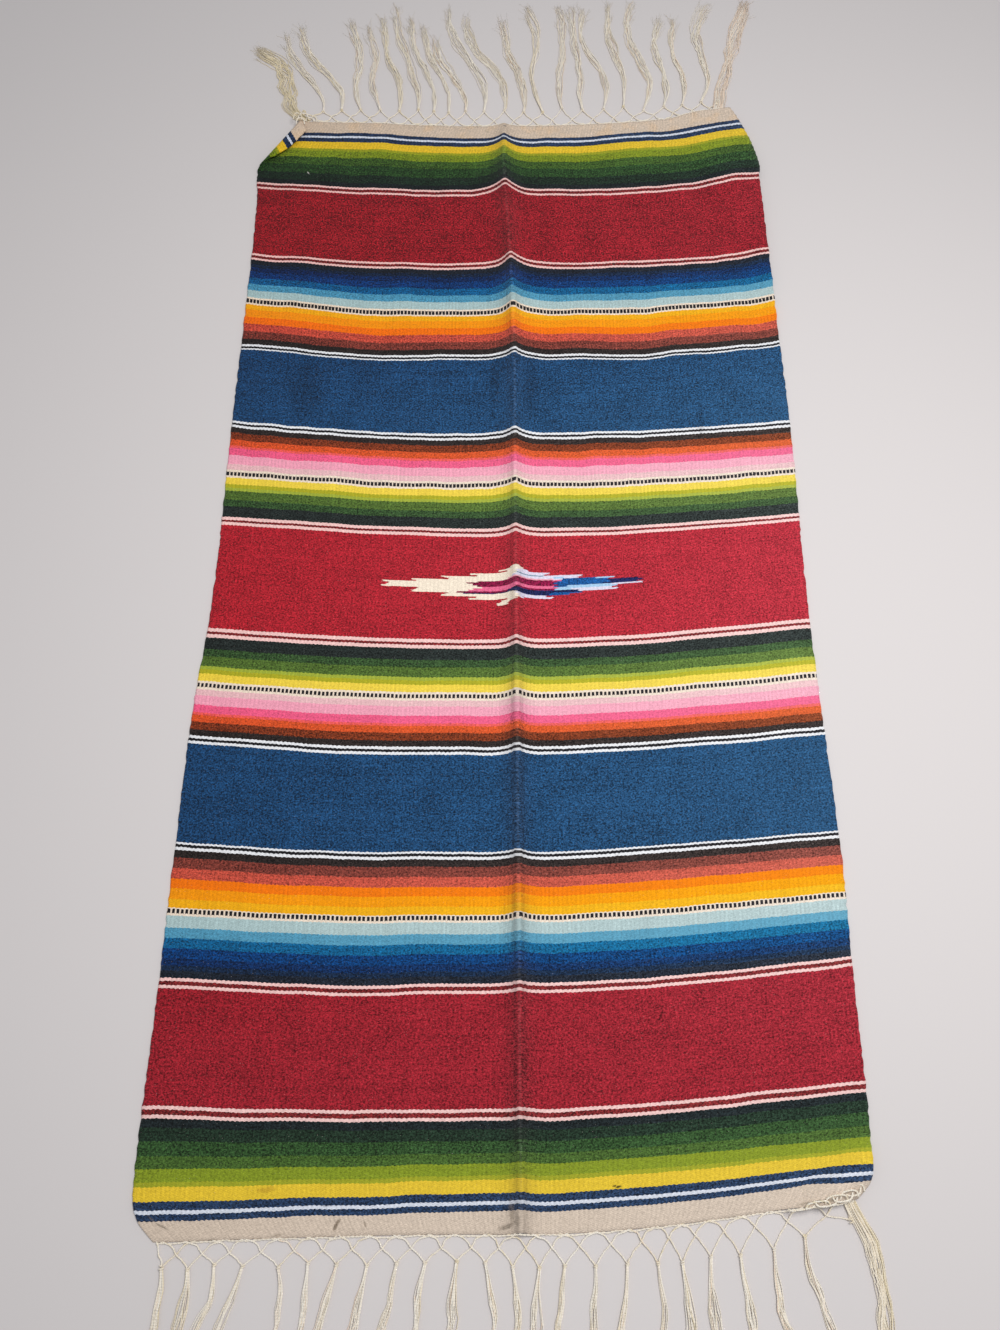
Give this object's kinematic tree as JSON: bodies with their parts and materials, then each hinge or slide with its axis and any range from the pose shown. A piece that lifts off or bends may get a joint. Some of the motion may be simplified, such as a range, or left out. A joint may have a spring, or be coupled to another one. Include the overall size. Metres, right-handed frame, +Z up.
{
  "type": "mexican serape",
  "caption": "Handwoven striped wool serape laid out flat, with a stepped diamond at its middle, a lengthwise fold mark, folded corners and a knotted fringe at each end.",
  "frame": {"origin": "middle of the whole serape's outline, at floor level", "axes": "+Z up from the floor that the cloth lies on, +Y along the cloth from the near fringe to the far fringe, +X across it to the right"},
  "size_m": [0.7486, 1.8434, 0.0207],
  "materials": {
    "woven_wool": "matt weft-faced wool",
    "cotton_warp": "matt twisted cotton"
  },
  "bodies": {
    "root": {"woven_web": "woven_wool", "fringe_far": "cotton_warp", "fringe_near": "cotton_warp"}
  },
  "joints": []
}
